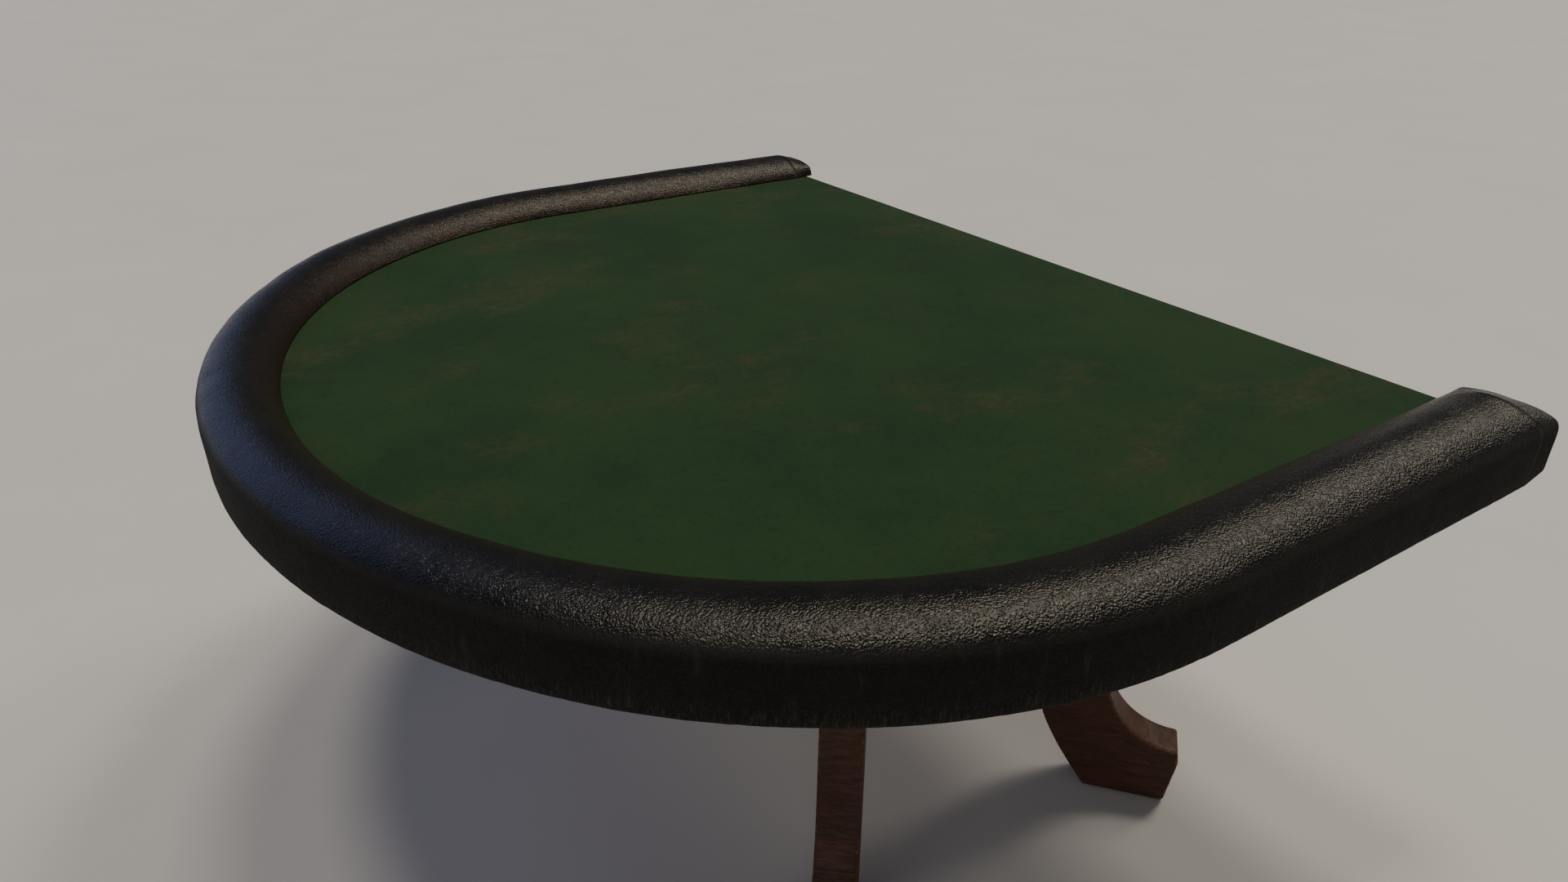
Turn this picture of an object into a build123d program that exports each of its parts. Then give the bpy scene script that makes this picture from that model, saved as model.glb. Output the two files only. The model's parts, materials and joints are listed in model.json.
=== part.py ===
"""Blackjack table: a D-shaped felted top inside a padded leather armrest, on four sabre legs.

Millimetres, +Z up. The origin is on the floor, under the middle of the table's plan box.
+Y is the dealer's straight edge, -Y the players' curved side, and +X is the dealer's left.
"""

from build123d import *
import os
from math import atan2, cos, degrees, pi, radians, sin

# ---------------------------------------------------------------- driving dimensions
felt_height = 762.0          # playing surface above the floor
felt_half_width = 768.0      # half the playing surface's width, at the armrest
side_straight = 634.0        # straight run of the sides, from the dealer's edge
felt_front_depth = 703.0     # depth of the half-ellipse beyond the straight run
rail_side_width = 146.0      # armrest width at the sides
rail_front_width = 107.0     # armrest width at the middle of the players' side
rail_end_overhang = 15.0     # the armrest's ends stand behind the dealer's edge
rail_bevel_length = 45.0     # length of the bevelled block at each end
rail_crest = 40.5            # top of the armrest above the felt
rail_drop = 65.5             # bottom of the armrest below the felt

felt_thickness = 2.0
underlay_thickness = 4.0
deck_thickness = 25.0
rail_base_thickness = 12.0
cover_thickness = 2.5

# plan, from the overall depth: the origin is half way between the front and the armrest's ends
table_depth = rail_end_overhang + side_straight + felt_front_depth + rail_front_width
rail_end_y = table_depth / 2
arm_end_y = rail_end_y - rail_bevel_length
dealer_y = rail_end_y - rail_end_overhang
arc_y = dealer_y - side_straight               # centre of the half-ellipse

# across the armrest, as a share of its width: 0 at the felt, 1 at the outer face
cover_inner = 0.03
base_inner = 0.12
deck_reach = 0.85            # deck, underlay and felt run this far under the armrest
skirt_inner = 0.86
skin_inner = 0.982

# underframe
beam_length, beam_width, beam_height = 1500.0, 45.0, 60.0
rib_width = 45.0
rib_back_y, rib_front_y = 640.0, -400.0
apron_height, apron_thickness = 80.0, 25.0
block_depth, block_width, block_height = 40.0, 150.0, 70.0
block_drop = 5.0             # the corner blocks' tops are this far below the beams' undersides

# heights above the floor
underlay_top = felt_height - felt_thickness
deck_top = underlay_top - underlay_thickness
deck_bottom = deck_top - deck_thickness
rail_base_top = felt_height + rail_base_thickness
beam_bottom = deck_bottom - beam_height
apron_bottom = beam_bottom - apron_height

# legs: each stands in an upright plane turned leg_angle from the X axis
leg_angle = 40.0
leg_origin_x = 184.0
leg_origin_y = dealer_y - 541.0
heel_radius = 416.0          # heel of the sole, from the leg origin
leg_thickness = 64.0
leg_edge_radius = 3.5
sole_height = 3.0            # the sole stands clear of the floor on its levelling foot
post_inner, post_outer = -161.0, -66.0     # the leg's upright post, from the heel
post_radius = heel_radius + (post_inner + post_outer) / 2
post_x = leg_origin_x + post_radius * cos(radians(leg_angle))
post_dy = post_radius * sin(radians(leg_angle))
beam_back_y, beam_front_y = leg_origin_y + post_dy, leg_origin_y - post_dy

# levelling feet
foot_radius = heel_radius + 62.0           # middle of the foot, from the leg origin
pad_radius, pad_height = 19.0, 8.0
pocket_radius, pocket_top = 20.5, 9.5      # recess in the sole that takes the pad
stem_radius, stem_bottom, stem_length = 4.0, 2.0, 40.0
stem_play = 2.0              # room in the leg above the stem
pad_chamfer = 1.0
foot_insert_radius, foot_insert_length = 7.0, 24.0
thread_clearance = 0.05

# fasteners
bolt_radius, bolt_clearance = 4.0, 0.5
washer_radius, washer_thickness = 11.0, 2.0
hex_across_flats, hex_height = 13.0, 5.5
screw_radius, screw_head_radius, screw_head_height = 2.5, 5.0, 3.0
tee_flange_radius, tee_flange_thickness = 10.0, 1.5
tee_barrel_radius, tee_barrel_length = 5.5, 9.0
leg_insert_radius, leg_insert_length = 7.0, 25.0
leg_bolt_length = 87.0
leg_bolt_bore = 50.0         # depth of a bolt hole in a leg's post
leg_bolt_drops = (20.0, 60.0)                # below the beams' undersides
bolt_tip = 1.0               # a rail bolt stands this far out of its tee nut's base
deck_screw_length, deck_screw_sink = 57.0, 22.0
deck_screw_ys = (580.0, 170.0, -180.0, -350.0)
apron_screw_length, apron_screw_sink = 60.0, 45.0
apron_screw_x, apron_screw_dy = 180.0, 60.0  # from the middle of a long and of a short rail
counterbore_radius = screw_head_radius + 1
end_screw_length = 58.0
rail_bolt_angles = (15, 45, 75, 105, 135, 165)
rail_bolt_setbacks = (70.0, 330.0)           # on the arms, from the dealer's edge

CORNERS = {
    "back_right": (1, 1),
    "front_right": (1, -1),
    "back_left": (-1, 1),
    "front_left": (-1, -1),
}
STANDING = (Align.CENTER, Align.CENTER, Align.MIN)
HANGING = (Align.CENTER, Align.CENTER, Align.MAX)


# ---------------------------------------------------------------- small helpers
def bar(radius, length, x=0.0, y=0.0, z=0.0):
    """A round bar standing on the point given."""
    return Pos(x, y, z) * Cylinder(radius, length, align=STANDING)


def sleeve(outer, inner, length, z=0.0):
    """A plain tube standing on the Z axis."""
    return bar(outer, length, z=z) - bar(inner, length, z=z)


def cut(body, holes):
    """The body with every hole cut from it."""
    for hole in holes:
        body = body - hole
    return body


def group(pieces):
    """Several identical pieces as one node of separate solids."""
    return Compound(children=[piece.solid() for piece in pieces])


# ---------------------------------------------------------------- plan outlines
def plan_outline(across, back_y):
    """The D-shaped outline this far across the armrest, cut straight at back_y."""
    half = felt_half_width + across * rail_side_width
    deep = felt_front_depth + across * rail_front_width
    with BuildLine() as line:
        Line((half, arc_y), (half, back_y))
        Line((half, back_y), (-half, back_y))
        Line((-half, back_y), (-half, arc_y))
        EllipticalCenterArc((0, arc_y), half, deep, start_angle=180, arc_size=180)
    return make_face(line.line)


def d_board(across, back_y, bottom, top):
    """A D-shaped board between two heights."""
    return Pos(0, 0, bottom) * extrude(plan_outline(across, back_y), top - bottom)


def c_board(inner, outer, back_y, bottom, top):
    """A C-shaped board under the armrest, open towards the dealer."""
    return d_board(outer, back_y, bottom, top) - d_board(inner, back_y + 1, bottom, top)


# ---------------------------------------------------------------- armrest
# A section point is a share of the armrest's width and a height above the felt.
PILLOW = [
    (cover_inner, 0), (0.19, 26), (0.34, 36), (0.51, rail_crest),
    (0.68, 38.5), (0.82, 32), (0.94, 23), (1.0, 13),
]
PILLOW_INSIDE = [
    (0.06, 0), (0.2, 24), (0.345, 33.6), (0.51, rail_crest - cover_thickness),
    (0.677, 36), (0.813, 29.7), (0.93, 21), (skin_inner, rail_base_thickness),
]
SKIRT = [(1.0, 13), (1.0, -54), (0.987, -62.5), (0.94, -rail_drop), (skirt_inner, -rail_drop)]
SKIRT_INSIDE = [
    (skin_inner, rail_base_thickness), (skin_inner, -53), (0.97, -60.5),
    (0.93, cover_thickness - rail_drop), (skirt_inner, cover_thickness - rail_drop),
]
# The end face of an end block: lower on top than the armrest, squarer inside, and shallower below.
END_PILLOW = [
    (0.06, 0), (0.15, 21), (0.33, 26.5), (0.51, 27.5),
    (0.7, 27), (0.85, 24.5), (0.955, 18), (0.99, 9),
]
END_SKIRT = [(0.99, 9), (0.99, -48), (0.975, -54), (0.93, -56), (skirt_inner, -56)]
FRONT_STATIONS = 15          # sections lofted round the half-ellipse


def rail_point(point, angle, y=None):
    """A section point at an angle round the front, or on a straight arm at this y."""
    across, above = point
    x = (felt_half_width + across * rail_side_width) * cos(angle)
    round_y = arc_y - (felt_front_depth + across * rail_front_width) * sin(angle)
    return Vector(x, round_y if y is None else y, felt_height + above)


def section_lines(corners, angle, y):
    """Straight edges from corner to corner of a section."""
    ends = [rail_point(p, angle, y) for p in corners]
    return [Edge.make_line(p, q) for p, q in zip(ends, ends[1:])]


def section_curve(curve, angle, y):
    """One smooth edge through the points of a section."""
    return Edge.make_spline([rail_point(p, angle, y) for p in curve])


def foam_section(angle, y=None):
    """The foam: under the cover, over the base and down the base's inner edge."""
    lower = [
        PILLOW_INSIDE[-1], (base_inner, rail_base_thickness), (base_inner, 0), PILLOW_INSIDE[0],
    ]
    return Face(Wire([section_curve(PILLOW_INSIDE, angle, y)] + section_lines(lower, angle, y)))


def cover_section(angle, y=None):
    """The cover: over the pillow, down the outside and turned under the skirt."""
    edges = [section_curve(PILLOW, angle, y), section_curve(PILLOW_INSIDE, angle, y)]
    edges += section_lines(SKIRT + SKIRT_INSIDE[::-1], angle, y)
    edges += section_lines([PILLOW_INSIDE[0], PILLOW[0]], angle, y)
    return Face(Wire(edges))


def skirt_section(angle, y=None):
    """The timber lip that hangs outside the deck's edge."""
    corners = SKIRT_INSIDE[1:] + [(skirt_inner, 0), (skin_inner, 0), SKIRT_INSIDE[1]]
    return Face(Wire(section_lines(corners, angle, y)))


def run_round(section):
    """One solid from a section: lofted round the front and carried straight back on both arms."""
    angles = [pi * i / (FRONT_STATIONS - 1) for i in range(FRONT_STATIONS)]
    solid = loft([section(angle) for angle in angles])
    for angle in (0, pi):
        solid += extrude(section(angle), arm_end_y - arc_y, dir=(0, 1, 0))
    return solid


def end_block(angle):
    """The padded block that closes one end of the armrest, bevelled down to its end face."""
    faces = []
    for pillow, skirt, y in ((PILLOW, SKIRT, arm_end_y), (END_PILLOW, END_SKIRT, rail_end_y)):
        rest = skirt + [(skirt_inner, 0), pillow[0]]
        faces.append(Face(Wire([section_curve(pillow, angle, y)] + section_lines(rest, angle, y))))
    return loft(faces, ruled=True)


# ---------------------------------------------------------------- fasteners
def bolt(length):
    """A hexagon bolt pointing up, the underside of its head at the origin."""
    head = extrude(RegularPolygon(hex_across_flats / 2, 6, major_radius=False), hex_height)
    return bar(bolt_radius, length) + Pos(0, 0, -hex_height) * head


def washer():
    """A flat washer standing on the plane."""
    return sleeve(washer_radius, bolt_radius + bolt_clearance, washer_thickness)


def wood_screw(length):
    """A countersunk wood screw pointing up, the face of its head at the origin."""
    head = Cone(screw_head_radius, screw_radius, screw_head_height, align=STANDING)
    return head + bar(screw_radius, length)


def tee_nut():
    """A tee nut, its flange standing on the rail base and its barrel let into it."""
    bore = bolt_radius + thread_clearance
    barrel = sleeve(tee_barrel_radius, bore, tee_barrel_length, z=-tee_barrel_length)
    return barrel + sleeve(tee_flange_radius, bore, tee_flange_thickness)


def staple_row(places, level):
    """Staple crowns flat under a face: each place is x, y and the crown's heading."""
    crown_length, crown_width, crown_thickness = 10.0, 1.4, 0.6
    crown = Box(crown_length, crown_width, crown_thickness, align=HANGING)
    return group([Pos(x, y, level) * Rot(0, 0, heading) * crown for x, y, heading in places])


def rail_bolt_places():
    """The bolts stand in the middle of the armrest, on the arms and round the front."""
    middle = (0.5, 0)
    points = [rail_point(middle, radians(angle)) for angle in rail_bolt_angles]
    points += [rail_point(middle, angle, dealer_y - setback)
               for angle in (0, pi) for setback in rail_bolt_setbacks]
    return [(p.X, p.Y) for p in points]


def cover_staple_places():
    """Along the cover's turned-under edge, beside the skirt's inner face."""
    line, per_arm, per_front = (0.883, 0), 6, 23
    places = []
    for angle in (0, pi):
        for i in range(per_arm):
            y = arc_y + (i + 1) * (arm_end_y - arc_y) / (per_arm + 1)
            places.append((rail_point(line, angle).X, y, 90))
    for i in range(per_front):
        angle = pi * i / (per_front - 1)
        here = rail_point(line, angle)
        along = rail_point(line, angle + 0.01) - rail_point(line, angle - 0.01)
        places.append((here.X, here.Y, degrees(atan2(along.Y, along.X))))
    return places


def felt_staple_places():
    """One row along the felt's turned-under edge, below the dealer's side."""
    count, spacing, setback = 19, 85.0, 18.0
    return [((i - (count - 1) / 2) * spacing, dealer_y - setback, 0) for i in range(count)]


def end_screw_places():
    """Two screws up through the deck into each end block."""
    shares, setback = (0.35, 0.65), 32.0
    xs = [rail_point((share, 0), angle).X for angle in (0, pi) for share in shares]
    return [(x, rail_end_y - setback) for x in xs]


def deck_screw_places():
    """Screws up through the ribs into the deck."""
    return [(x, y) for x in (-post_x, 0, post_x) for y in deck_screw_ys]


def apron_screw_places():
    """Two screws up through each apron rail into the beam or rib above it."""
    long_rails = [(x, y) for x in (-apron_screw_x, apron_screw_x) for y in (beam_back_y, beam_front_y)]
    short_ys = (leg_origin_y - apron_screw_dy, leg_origin_y + apron_screw_dy)
    short_rails = [(x, y) for x in (-post_x, post_x) for y in short_ys]
    return long_rails + short_rails


def standing_screws(places, bottom, length):
    """A wood screw pointing up at each place, the face of its head at the height given."""
    return [Pos(x, y, bottom) * wood_screw(length) for x, y in places]


def counterbores(places, bottom, depth):
    """The wider holes below sunk screw heads."""
    return [bar(counterbore_radius, depth, x, y, bottom) for x, y in places]


# ---------------------------------------------------------------- top
def felt_cloth():
    """The cloth: flat over the top, down the dealer's edge and turned under the deck."""
    turned_under, wrap_reach = 30.0, 0.8
    wrap_width = 2 * (felt_half_width + wrap_reach * rail_side_width)
    outer_y = dealer_y + felt_thickness
    top = d_board(deck_reach, outer_y, underlay_top, felt_height)
    drop = Box(wrap_width, felt_thickness, underlay_top - deck_bottom + felt_thickness, align=HANGING)
    under = Box(wrap_width, turned_under, felt_thickness, align=HANGING)
    drop = Pos(0, dealer_y + felt_thickness / 2, underlay_top) * drop
    return top + drop + Pos(0, outer_y - turned_under / 2, deck_bottom) * under


# ---------------------------------------------------------------- legs
def leg_place(corner):
    """The leg's own frame: +X from the leg origin out to the toe, in the leg's upright plane."""
    sx, sy = CORNERS[corner]
    heading = degrees(atan2(sy * sin(radians(leg_angle)), sx * cos(radians(leg_angle))))
    return Pos(sx * leg_origin_x, leg_origin_y, 0) * Rot(0, 0, heading)


def leg_solid():
    """A sabre leg in its own frame: upright post, shank that leans out, blocky toe."""
    post_shoulder, post_top = apron_bottom - sole_height, beam_bottom - sole_height
    heel, ball, toe_tip, toe_top = (0, 0), (133, 0), (145, 84), (141, 109)
    back = [
        (post_inner, post_shoulder), (-136, 490), (-113, 380), (-103, 290),
        (-101, 215), (-86, 149), (-52, 78), heel,
    ]
    front = [
        (128, 110), (85, 123), (46, 155), (20, 206),
        (4, 290), (-13, 380), (-38, 490), (post_outer, post_shoulder),
    ]
    sole_and_toe = [heel, ball, toe_tip, toe_top, front[0]]
    post = [front[-1], (post_outer, post_top), (post_inner, post_top), back[0]]

    def at(point):
        return Vector(heel_radius + point[0], 0, sole_height + point[1])

    edges = [Edge.make_spline([at(p) for p in back]), Edge.make_spline([at(p) for p in front])]
    for corners in (sole_and_toe, post):
        edges += [Edge.make_line(at(p), at(q)) for p, q in zip(corners, corners[1:])]
    leg = extrude(Face(Wire(edges)), leg_thickness / 2, dir=(0, 1, 0), both=True)
    flanks = leg.faces().filter_by(Axis.Y)
    rims = [edge for flank in flanks for edge in flank.edges() if edge.center().Z < beam_bottom]
    return fillet(rims, leg_edge_radius)


def leg_bolt_heights():
    return [beam_bottom - drop for drop in leg_bolt_drops]


def along_leg(piece, radius, height):
    """A piece made along Z, laid level in the leg's frame and pointing out to the toe."""
    return Pos(radius, 0, height) * Rot(0, 90, 0) * piece


def leg_holes():
    """What is bored out of a leg: two bolt holes with inserts, and the levelling foot's bore."""
    joint_radius = heel_radius + post_inner
    holes = []
    for height in leg_bolt_heights():
        holes.append(along_leg(bar(leg_insert_radius, leg_insert_length), joint_radius, height))
        holes.append(along_leg(bar(bolt_radius + bolt_clearance, leg_bolt_bore), joint_radius, height))
    holes.append(bar(pocket_radius, pocket_top, foot_radius))
    holes.append(bar(foot_insert_radius, pocket_top + foot_insert_length, foot_radius))
    stem_bore = stem_bottom + stem_length + stem_play
    holes.append(bar(stem_radius + bolt_clearance, stem_bore, foot_radius))
    return holes


def pad():
    """The levelling foot's moulded base, with a blind socket for its stem."""
    disc = chamfer(bar(pad_radius, pad_height).edges(), pad_chamfer)
    return disc - bar(stem_radius + thread_clearance, pad_height, z=stem_bottom)


# ---------------------------------------------------------------- assembly
def top_parts():
    bolts_at = rail_bolt_places()
    head_level = deck_bottom - washer_thickness
    rail_bolts = [Pos(x, y, head_level) * bolt(rail_base_top + bolt_tip - head_level) for x, y in bolts_at]
    bolt_holes = [bar(bolt_radius + bolt_clearance, rail_base_top - head_level, x, y, head_level)
                  for x, y in bolts_at]
    barrels = [bar(tee_barrel_radius, tee_barrel_length, x, y, rail_base_top - tee_barrel_length)
               for x, y in bolts_at]
    flange_pockets = [bar(tee_flange_radius, tee_flange_thickness, x, y, rail_base_top)
                      for x, y in bolts_at]
    deck_screws = standing_screws(deck_screw_places(), beam_bottom + deck_screw_sink, deck_screw_length)
    end_screws = standing_screws(end_screw_places(), deck_bottom - felt_thickness, end_screw_length)
    deck = d_board(deck_reach, dealer_y, deck_bottom, deck_top)
    underlay = d_board(deck_reach, dealer_y, deck_top, underlay_top)
    base = c_board(base_inner, skin_inner, arm_end_y, felt_height, rail_base_top)
    return {
        "deck_board": cut(deck, bolt_holes + end_screws + deck_screws),
        "foam_underlay": cut(underlay, bolt_holes + end_screws),
        "felt_cloth": cut(felt_cloth(), bolt_holes + end_screws),
        "felt_staples": staple_row(felt_staple_places(), deck_bottom - felt_thickness),
        "deck_screws": group(deck_screws),
        "rail_base": cut(base, barrels + bolt_holes),
        "rail_skirt": run_round(skirt_section),
        "rail_foam": cut(run_round(foam_section), flange_pockets),
        "rail_cover": run_round(cover_section),
        "rail_end_block_right": cut(end_block(0), end_screws),
        "rail_end_block_left": cut(end_block(pi), end_screws),
        "rail_end_screws": group(end_screws),
        "rail_bolts": group(rail_bolts),
        "rail_washers": group([Pos(x, y, head_level) * washer() for x, y in bolts_at]),
        "rail_tee_nuts": group([Pos(x, y, rail_base_top) * tee_nut() for x, y in bolts_at]),
        "cover_staples": staple_row(cover_staple_places(), felt_height - rail_drop),
    }


def underframe_parts():
    half = beam_height / 2
    beam = Box(beam_length, beam_width, beam_height, align=STANDING)
    rib = Pos(0, (rib_back_y + rib_front_y) / 2, beam_bottom) * Box(
        rib_width, rib_back_y - rib_front_y, beam_height, align=STANDING
    )
    lap_tops = [Pos(x, y, beam_bottom + half) * Box(rib_width, beam_width, half, align=STANDING)
                for x in (-post_x, 0, post_x) for y in (beam_back_y, beam_front_y)]
    lap_bottoms = [Pos(0, 0, -half) * lap for lap in lap_tops]
    deck_screws = standing_screws(deck_screw_places(), beam_bottom + deck_screw_sink, deck_screw_length)
    deck_screws += counterbores(deck_screw_places(), beam_bottom, deck_screw_sink)
    apron_screws = standing_screws(
        apron_screw_places(), apron_bottom + apron_screw_sink, apron_screw_length
    )
    apron_bores = counterbores(apron_screw_places(), apron_bottom, apron_screw_sink)
    posts = [leg_place(corner) * leg_solid() for corner in CORNERS]
    long_rail = Box(2 * post_x, apron_thickness, apron_height, align=STANDING)
    short_rail = Box(apron_thickness, 2 * post_dy, apron_height, align=STANDING)
    inside_aprons = Pos(0, leg_origin_y, apron_bottom) * Box(
        2 * post_x - apron_thickness, 2 * post_dy - apron_thickness, apron_height, align=STANDING
    )
    parts = {}
    for name, y in (("back", beam_back_y), ("front", beam_front_y)):
        rail = Pos(0, y, apron_bottom) * long_rail
        parts[f"beam_{name}"] = cut(Pos(0, y, beam_bottom) * beam, lap_tops + apron_screws)
        parts[f"apron_{name}"] = cut(rail, posts + apron_screws + apron_bores)
    for name, x in (("left", -post_x), ("centre", 0), ("right", post_x)):
        parts[f"rib_{name}"] = cut(Pos(x, 0, 0) * rib, lap_bottoms + deck_screws + apron_screws)
    for name, x in (("left", -post_x), ("right", post_x)):
        rail = Pos(x, leg_origin_y, apron_bottom) * short_rail
        parts[f"apron_{name}"] = cut(rail, posts + apron_screws + apron_bores)
    block_radius = heel_radius + post_inner - block_depth
    block = Box(block_depth, block_width, block_height, align=HANGING)
    block = Pos(block_radius + block_depth / 2, 0, beam_bottom - block_drop) * block
    bolt_bores = [along_leg(bar(bolt_radius + bolt_clearance, block_depth), block_radius, height)
                  for height in leg_bolt_heights()]
    for corner in CORNERS:
        parts[f"corner_block_{corner}"] = (leg_place(corner) * cut(block, bolt_bores)) & inside_aprons
    parts["apron_screws"] = group(apron_screws)
    return parts


def leg_parts():
    block_radius = heel_radius + post_inner - block_depth
    leg = cut(leg_solid(), leg_holes())
    leg_insert = sleeve(leg_insert_radius, bolt_radius + thread_clearance, leg_insert_length)
    foot_insert = sleeve(
        foot_insert_radius, stem_radius + thread_clearance, foot_insert_length, z=pocket_top
    )
    parts = {f"leg_{corner}": leg_place(corner) * leg for corner in CORNERS}
    bolts, washers, inserts = [], [], []
    for corner in CORNERS:
        for height in leg_bolt_heights():
            head_radius = block_radius - washer_thickness
            bolts.append(leg_place(corner) * along_leg(bolt(leg_bolt_length), head_radius, height))
            washers.append(leg_place(corner) * along_leg(washer(), head_radius, height))
            inserts.append(leg_place(corner) * along_leg(leg_insert, heel_radius + post_inner, height))
        foot = leg_place(corner) * Pos(foot_radius, 0, 0)
        parts[f"leveller_pad_{corner}"] = foot * pad()
        parts[f"leveller_stem_{corner}"] = foot * bar(stem_radius, stem_length, z=stem_bottom)
    parts["leg_bolts"] = group(bolts)
    parts["leg_washers"] = group(washers)
    parts["leg_inserts"] = group(inserts)
    parts["leveller_inserts"] = group(
        [leg_place(corner) * Pos(foot_radius, 0, 0) * foot_insert for corner in CORNERS]
    )
    return parts


os.makedirs("parts", exist_ok=True)
for node, shape in {**top_parts(), **underframe_parts(), **leg_parts()}.items():
    export_step(shape, f"parts/{node}.step")
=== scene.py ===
"""The looks of the blackjack table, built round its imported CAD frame.

Metres, +Z up, the origin on the floor, +Y towards the dealer's straight edge.
"""

import json
import math

import bpy
import numpy as np
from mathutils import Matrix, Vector, noise


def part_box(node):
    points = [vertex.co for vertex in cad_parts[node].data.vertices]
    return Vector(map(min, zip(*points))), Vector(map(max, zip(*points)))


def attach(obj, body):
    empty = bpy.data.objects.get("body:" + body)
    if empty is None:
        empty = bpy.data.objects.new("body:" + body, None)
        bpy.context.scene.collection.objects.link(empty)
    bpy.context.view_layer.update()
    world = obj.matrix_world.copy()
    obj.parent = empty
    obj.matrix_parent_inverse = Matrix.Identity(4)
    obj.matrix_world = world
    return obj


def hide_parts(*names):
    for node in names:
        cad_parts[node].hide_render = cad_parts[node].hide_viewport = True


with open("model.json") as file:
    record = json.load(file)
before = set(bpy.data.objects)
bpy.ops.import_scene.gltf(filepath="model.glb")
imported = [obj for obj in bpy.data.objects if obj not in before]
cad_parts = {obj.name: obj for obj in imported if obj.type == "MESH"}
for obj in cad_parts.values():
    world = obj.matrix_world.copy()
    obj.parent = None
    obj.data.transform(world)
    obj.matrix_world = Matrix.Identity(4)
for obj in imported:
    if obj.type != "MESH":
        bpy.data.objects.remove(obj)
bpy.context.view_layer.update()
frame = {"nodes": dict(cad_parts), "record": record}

CORNERS = ("back_right", "front_right", "back_left", "front_left")
BODY = "table"

# ---------------------------------------------------------------- places, from the frame
cover_low, cover_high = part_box("rail_cover")
block_low, block_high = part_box("rail_end_block_right")
deck_low, deck_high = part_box("deck_board")
felt_low, felt_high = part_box("felt_cloth")

FELT_TOP = felt_high.z
DEALER_Y = deck_high.y                      # the dealer's straight edge
ARM_END_Y, RAIL_END_Y = block_low.y, block_high.y
SIDE_STRAIGHT = 0.634                       # straight run of the sides, before the half-ellipse
ARC_Y = DEALER_Y - SIDE_STRAIGHT            # centre of the half-ellipse
COVER_INNER, DECK_REACH, SKIRT_INNER = 0.03, 0.85, 0.86    # shares of the armrest's width
SIDE_WIDTH = (cover_high.x - block_low.x) / (1 - COVER_INNER)
FRONT_WIDTH = (deck_low.y - cover_low.y) / (1 - DECK_REACH)
FELT_HALF_WIDTH = cover_high.x - SIDE_WIDTH
FELT_FRONT_DEPTH = ARC_Y - cover_low.y - FRONT_WIDTH


# ---------------------------------------------------------------- mesh helpers
def grid_faces(rows, columns, closed=False):
    """Quads of a grid of points, row after row; closed joins each row's last point to its first."""
    faces = []
    for r in range(rows - 1):
        for c in range(columns if closed else columns - 1):
            d = (c + 1) % columns
            faces.append((r * columns + c, r * columns + d, (r + 1) * columns + d, (r + 1) * columns + c))
    return faces


def mesh_piece(name, points, faces, material, vectors=None, smooth=True):
    """A new piece from points and faces, with optional named per-point vectors, riding on the table."""
    mesh = bpy.data.meshes.new(name)
    mesh.from_pydata([tuple(p) for p in points], [], faces)
    mesh.validate()
    mesh.update()
    for attribute, values in (vectors or {}).items():
        layer = mesh.attributes.new(attribute, "FLOAT_VECTOR", "POINT")
        layer.data.foreach_set("vector", np.asarray(values, np.float32).ravel())
    mesh.polygons.foreach_set("use_smooth", [smooth] * len(mesh.polygons))
    piece = bpy.data.objects.new(name, mesh)
    bpy.context.scene.collection.objects.link(piece)
    mesh.materials.append(material)
    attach(piece, BODY)
    return piece


def smooth_path(points, per_span):
    """A Catmull-Rom curve through the points, per_span steps from each point to the next."""
    p = np.array(points, float)
    p = np.vstack([2 * p[0] - p[1], p, 2 * p[-1] - p[-2]])
    out = []
    for i in range(1, len(p) - 2):
        for t in np.linspace(0, 1, per_span, endpoint=False):
            out.append(0.5 * (
                2 * p[i] + (p[i + 1] - p[i - 1]) * t
                + (2 * p[i - 1] - 5 * p[i] + 4 * p[i + 1] - p[i + 2]) * t ** 2
                + (3 * p[i] - p[i - 1] - 3 * p[i + 1] + p[i + 2]) * t ** 3
            ))
    out.append(p[-2])
    return np.array(out)


def noise_at(points, scale, seed=0.0):
    """Smooth noise from -1 to 1 at each point."""
    shift = Vector((seed, 2 * seed, -seed))
    return np.array([noise.noise(Vector(p) * scale + shift) for p in points])


def grid_normals(points, rows, columns):
    """Unit normals of a grid of points, from the differences along it."""
    p = points.reshape(rows, columns, 3)
    n = np.cross(np.gradient(p, axis=1), np.gradient(p, axis=0))
    n /= np.maximum(np.linalg.norm(n, axis=2, keepdims=True), 1e-12)
    return n.reshape(-1, 3)


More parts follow.
